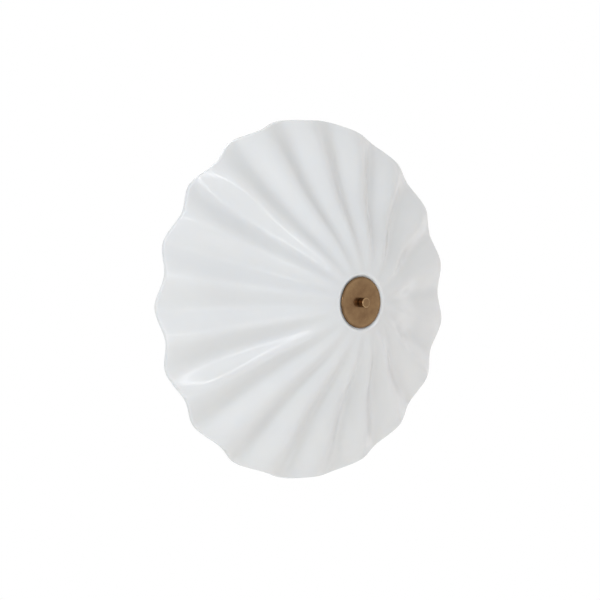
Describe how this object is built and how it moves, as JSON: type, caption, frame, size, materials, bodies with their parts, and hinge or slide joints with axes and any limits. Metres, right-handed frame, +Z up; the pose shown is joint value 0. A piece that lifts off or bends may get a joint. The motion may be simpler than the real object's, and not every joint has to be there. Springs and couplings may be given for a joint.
{
  "type": "wall lamp",
  "caption": "Round wall lamp: shallow fluted opal glass cone with a wavy rim, held by a brass disc and finial nut in front of a back pan with small screw-in lamps.",
  "frame": {"origin": "on the wall plane behind the centre of the finial, midway between the two wall screw slots of the bracket", "axes": "+X to the right as one faces the lamp, +Y into the wall, +Z up"},
  "size_m": [0.35, 0.1182, 0.3474],
  "materials": {
    "opal_glass": "pressed opal glass with a glossy fire-polished face and a ground edge",
    "aged_brass": "satin turned brass, darkened by age",
    "vulcanised_fibre": "punched fibre sheet",
    "black_rubber": "moulded matt rubber",
    "zinc_plated_steel": "bright zinc plating on pressed and turned steel",
    "nickel_plated_brass": "bright nickel plating",
    "white_painted_steel": "white baked powder coat, semi-gloss",
    "raw_brass": "plain turned and punched brass",
    "tinned_copper": "dull tin plating and solder",
    "white_thermoplastic": "injection-moulded white thermoplastic",
    "steatite": "unglazed steatite",
    "opal_lamp_globe": "opal lamp glass, satin",
    "black_lamp_glass": "black glass insulator of a lamp cap",
    "natural_nylon": "natural polyamide",
    "brown_pvc": "PVC wire insulation",
    "blue_pvc": "PVC wire insulation",
    "green_yellow_pvc": "PVC wire insulation in two colours"
  },
  "bodies": {
    "wall_fixture": {"rear_gasket": "black_rubber", "glass_support_plate": "zinc_plated_steel", "spacer_tube": "zinc_plated_steel", "centre_rod": "zinc_plated_steel", "rod_nuts": "zinc_plated_steel", "rod_washers": "zinc_plated_steel", "wall_bracket": "zinc_plated_steel", "pan_screws": "zinc_plated_steel", "pan_cap_nuts": "nickel_plated_brass", "pan_screw_washers": "zinc_plated_steel", "back_pan": "white_painted_steel", "lampholder_brackets": "zinc_plated_steel", "foot_screws": "zinc_plated_steel", "foot_screw_nuts": "zinc_plated_steel", "nipples": "raw_brass", "nipple_nuts": "zinc_plated_steel", "lampholder_bodies": "white_thermoplastic", "lampholder_inserts": "steatite", "lampholder_shells": "nickel_plated_brass", "lampholder_contacts": "raw_brass", "terminal_block": "natural_nylon", "terminal_sleeves": "raw_brass", "terminal_screws": "zinc_plated_steel", "block_screws": "zinc_plated_steel", "block_screw_nuts": "zinc_plated_steel", "earth_screw": "raw_brass", "earth_nut": "raw_brass", "earth_lug": "tinned_copper", "live_wires": "brown_pvc", "neutral_wires": "blue_pvc", "earth_wire": "green_yellow_pvc", "cable_grommet": "black_rubber"},
    "shade": {"glass_shade": "opal_glass"},
    "cover": {"cover_disc": "aged_brass", "front_gasket": "vulcanised_fibre"},
    "finial": {"finial_nut": "aged_brass"},
    "upper_globe": {"upper_lamp_globe": "opal_lamp_globe"},
    "upper_base": {"upper_lamp_collar": "white_thermoplastic", "upper_lamp_cap": "nickel_plated_brass", "upper_lamp_insulator": "black_lamp_glass", "upper_lamp_contact": "tinned_copper"},
    "lower_globe": {"lower_lamp_globe": "opal_lamp_globe"},
    "lower_base": {"lower_lamp_collar": "white_thermoplastic", "lower_lamp_cap": "nickel_plated_brass", "lower_lamp_insulator": "black_lamp_glass", "lower_lamp_contact": "tinned_copper"}
  },
  "joints": [
    {"name": "shade_lift_off", "type": "slide", "parent": "wall_fixture", "child": "shade", "axis": [0, -1, 0], "range_m": [0, 0.12]},
    {"name": "cover_disc_travel", "type": "slide", "parent": "shade", "child": "cover", "axis": [0, -1, 0], "range_m": [0, 0.005]},
    {"name": "finial_turn", "type": "hinge", "parent": "cover", "child": "finial", "pos_m": [0, -0.1148, 0], "axis": [0, -1, 0], "range_deg": [0, 1801]},
    {"name": "upper_lamp_travel", "type": "slide", "parent": "wall_fixture", "child": "upper_globe", "axis": [-1, 0, 0], "range_m": [0, 0.01551]},
    {"name": "upper_lamp_turn", "type": "hinge", "parent": "upper_globe", "child": "upper_base", "pos_m": [0.03, -0.052, 0.032], "axis": [-1, 0, 0], "range_deg": [0, 1981]},
    {"name": "lower_lamp_travel", "type": "slide", "parent": "wall_fixture", "child": "lower_globe", "axis": [1, 0, 0], "range_m": [0, 0.01551]},
    {"name": "lower_lamp_turn", "type": "hinge", "parent": "lower_globe", "child": "lower_base", "pos_m": [-0.03, -0.052, -0.032], "axis": [1, 0, 0], "range_deg": [0, 1981]}
  ],
  "couplings": [
    {"joint": "finial_turn", "follows": "cover_disc_travel", "rad_per_m": 6283.2},
    {"joint": "upper_lamp_turn", "follows": "upper_lamp_travel", "rad_per_m": 2228.1},
    {"joint": "lower_lamp_turn", "follows": "lower_lamp_travel", "rad_per_m": 2228.1}
  ]
}
